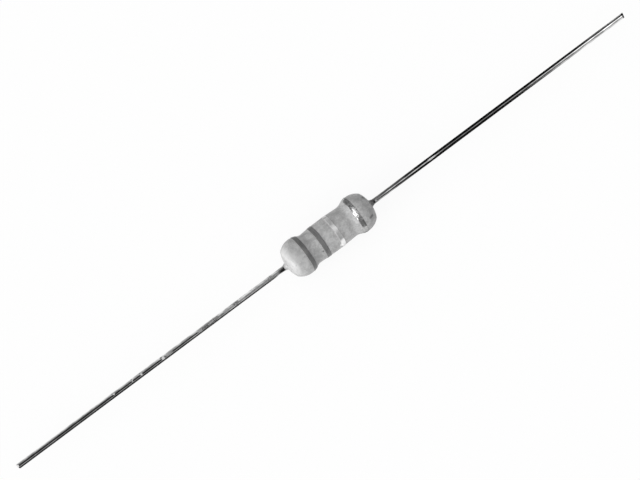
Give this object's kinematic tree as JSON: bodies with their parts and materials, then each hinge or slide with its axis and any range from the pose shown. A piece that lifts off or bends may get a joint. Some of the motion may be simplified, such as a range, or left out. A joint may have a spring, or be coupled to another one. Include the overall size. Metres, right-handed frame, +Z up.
{
  "type": "axial resistor",
  "caption": "Axial film resistor: a lacquered dog-bone body with painted code bands and a straight tinned wire lead out of each end.",
  "frame": {"origin": "centre of the lacquered body, on the axis of the leads", "axes": "+X along the leads from the first figure band towards the tolerance band, +Z up when the part lies on its body"},
  "size_m": [0.0832, 0.0046, 0.0046],
  "materials": {
    "ceramic": "fired, unglazed",
    "oxide_film": "thin dark metallic film",
    "cap_steel": "pressed and plated",
    "tinned_wire": "bright tinned, with fine drawing lines and small nicks",
    "lacquer": "satin, faintly mottled",
    "grey_paint": "satin",
    "gloss_paint": "gloss, with a little metal in it",
    "silver_paint": "metallic flake, glossy"
  },
  "bodies": {
    "root": {"ceramic_core": "ceramic", "resistive_film": "oxide_film", "end_cap_left": "cap_steel", "end_cap_right": "cap_steel", "lead_left": "tinned_wire", "lead_right": "tinned_wire", "coating": "lacquer", "band_first_figure": "grey_paint", "band_second_figure": "grey_paint", "band_multiplier": "gloss_paint", "band_tolerance": "silver_paint"}
  },
  "joints": []
}
